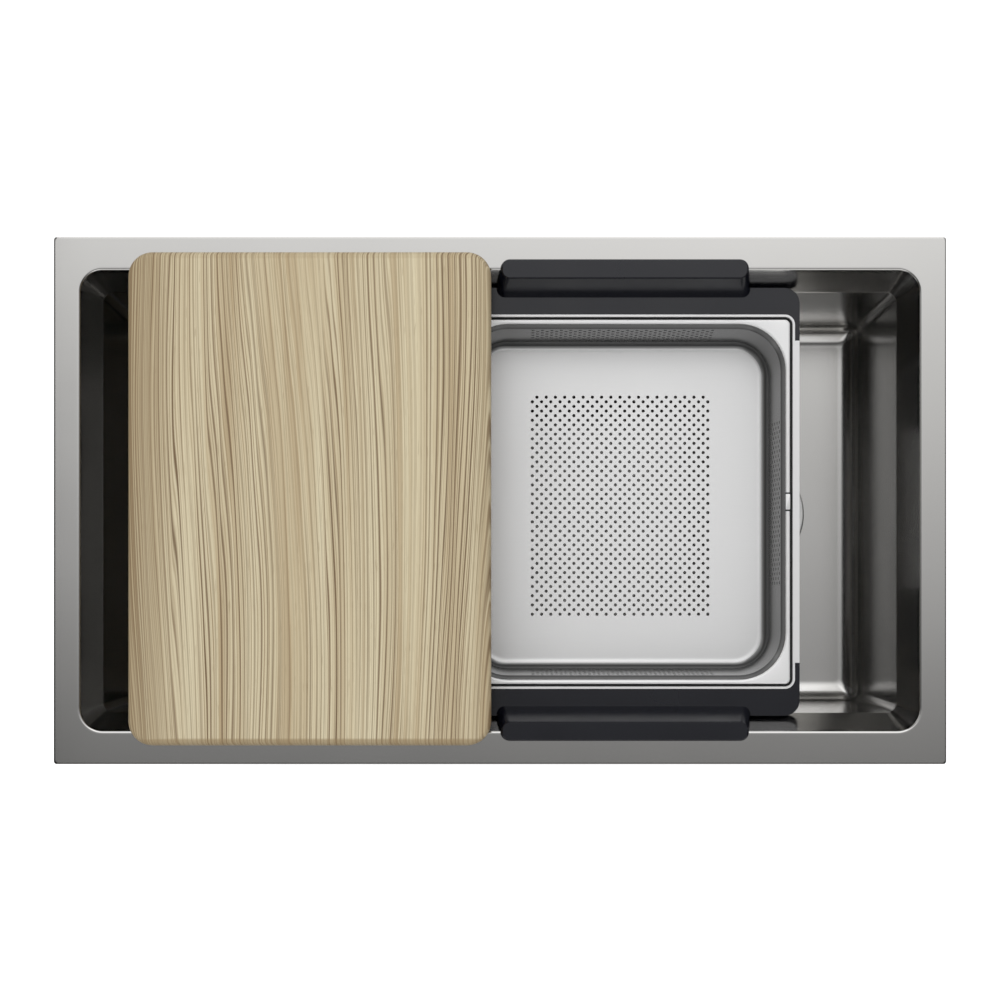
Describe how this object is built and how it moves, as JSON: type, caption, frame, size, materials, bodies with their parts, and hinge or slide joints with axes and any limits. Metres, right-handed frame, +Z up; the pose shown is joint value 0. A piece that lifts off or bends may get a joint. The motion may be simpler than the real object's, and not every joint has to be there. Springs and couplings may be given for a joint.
{
  "type": "workstation kitchen sink",
  "caption": "Wide single-bowl steel kitchen sink with a sloped inner ledge, a sliding cutting board, a sliding carrier with a lift-out perforated tray, and a basket strainer",
  "frame": {"origin": "centre of the bowl's opening, on the worktop surface that the rim's seal rests on; the rim's top is 3.5 mm above it", "axes": "+Z up, out of the bowl; +Y to the rear of the sink; +X to the right, where the drain is"},
  "size_m": [0.8382, 0.4952, 0.4303],
  "materials": {
    "sink_steel": "satin brushed",
    "tray_steel": "fine satin",
    "bright_steel": "polished",
    "plated_steel": "zinc plated",
    "nut_brass": "as cast",
    "foam": "closed-cell foam",
    "pad_rubber": "matte",
    "black_rubber": "matte",
    "grey_silicone": "matte",
    "fibre": "fibre card",
    "white_plastic": "matte",
    "black_plastic": "satin moulded",
    "ash_wood": "oiled, straight grain"
  },
  "bodies": {
    "sink": {"rim": "sink_steel", "bowl_floor": "sink_steel", "bowl_front": "sink_steel", "bowl_rear": "sink_steel", "bowl_left": "sink_steel", "bowl_right": "sink_steel", "rim_seal": "foam", "clip_rail_front": "plated_steel", "clip_rail_rear": "plated_steel", "clip_rail_left": "plated_steel", "clip_rail_right": "plated_steel", "mounting_clips": "plated_steel", "clip_screws": "plated_steel", "sound_pad_front": "pad_rubber", "sound_pad_rear": "pad_rubber", "sound_pad_left": "pad_rubber", "sound_pad_right": "pad_rubber", "sound_pad_floor": "pad_rubber", "strainer_body": "bright_steel", "flange_seal": "black_rubber", "drain_gasket": "black_rubber", "friction_ring": "fibre", "lock_nut": "nut_brass", "tailpiece": "bright_steel", "tailpiece_washer": "white_plastic", "tailpiece_nut": "bright_steel"},
    "basket": {"basket_cup": "bright_steel", "basket_knob": "bright_steel", "basket_stopper": "black_rubber", "basket_nut": "plated_steel"},
    "board": {"cutting_board": "ash_wood", "board_pads": "grey_silicone"},
    "carrier": {"carrier_frame": "tray_steel", "carrier_cap_rear": "black_plastic", "carrier_cap_front": "black_plastic", "glide_strips": "grey_silicone"},
    "tray": {"colander_tray": "tray_steel", "tray_floor": "tray_steel"}
  },
  "joints": [
    {"name": "board_slide", "type": "slide", "parent": "sink", "child": "board", "axis": [1, 0, 0], "range_m": [-0.058, 0.004]},
    {"name": "carrier_slide", "type": "slide", "parent": "sink", "child": "carrier", "axis": [1, 0, 0], "range_m": [-0.003, 0.094]},
    {"name": "tray_lift", "type": "slide", "parent": "carrier", "child": "tray", "axis": [0, 0, 1], "range_m": [0, 0.012]},
    {"name": "basket_lift", "type": "slide", "parent": "sink", "child": "basket", "axis": [0, 0, 1], "range_m": [0, 0.1]}
  ]
}
